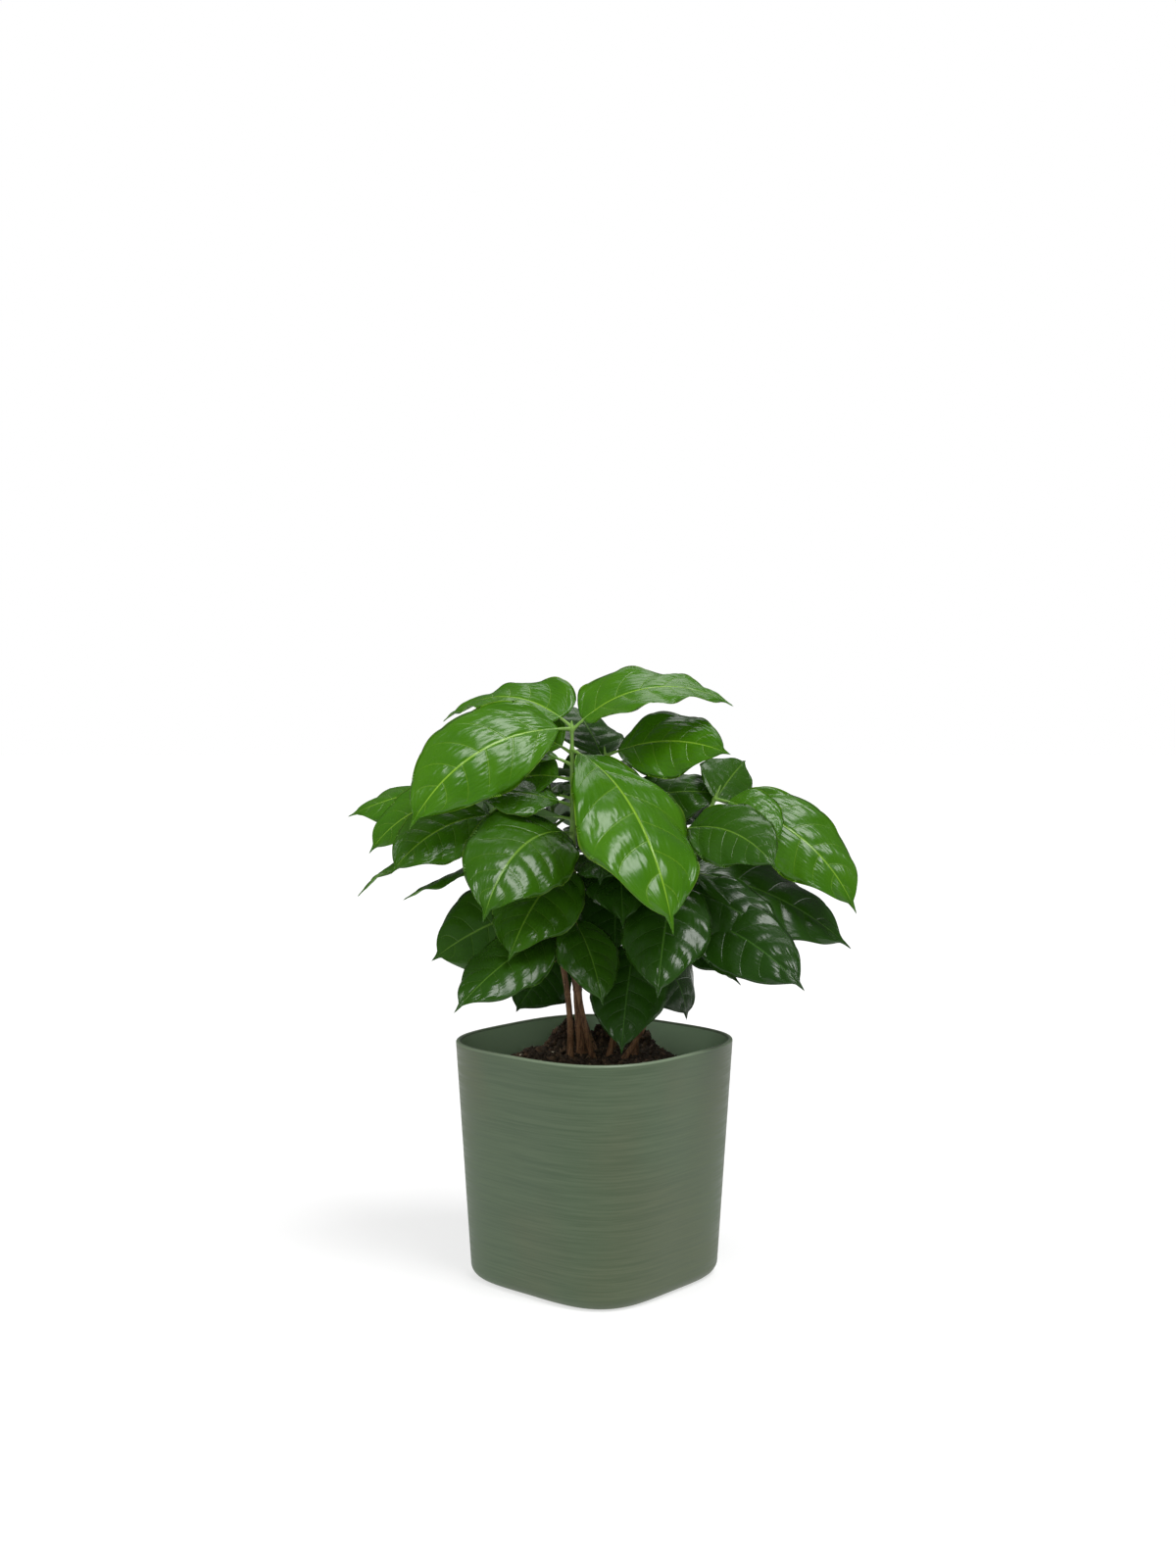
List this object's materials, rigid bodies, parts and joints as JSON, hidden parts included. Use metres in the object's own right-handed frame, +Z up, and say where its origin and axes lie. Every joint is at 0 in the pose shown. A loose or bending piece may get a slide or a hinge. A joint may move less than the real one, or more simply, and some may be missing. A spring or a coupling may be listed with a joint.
{
  "type": "potted coffee plant",
  "caption": "Young coffee plant, several seedlings with glossy ribbed leaves on thin woody stems, in a rounded-square sage green pot of soil.",
  "frame": {"origin": "middle of the pot's flat underside", "axes": "+Z up along the pot's axis, -Y towards the front, +X to the viewer's right"},
  "size_m": [0.289, 0.1882, 0.346],
  "materials": {
    "pot": "satin sage green with fine brushed lines around it",
    "soil": "damp peat and bark crumbs, matt",
    "bark": "thin reddish brown bark, matt",
    "leaf": "glossy mid to dark green, paler below"
  },
  "bodies": {
    "root": {"pot": "pot", "soil": "soil", "stem_centre": "bark", "stem_left": "bark", "stem_right": "bark", "stem_right_low": "bark", "stem_front_left": "bark", "stem_front": "bark", "stem_back_left": "bark", "stem_back_right": "bark", "foliage_centre": "leaf", "foliage_left": "leaf", "foliage_right": "leaf", "foliage_right_low": "leaf", "foliage_front_left": "leaf", "foliage_front": "leaf", "foliage_back_left": "leaf", "foliage_back_right": "leaf"}
  },
  "joints": []
}
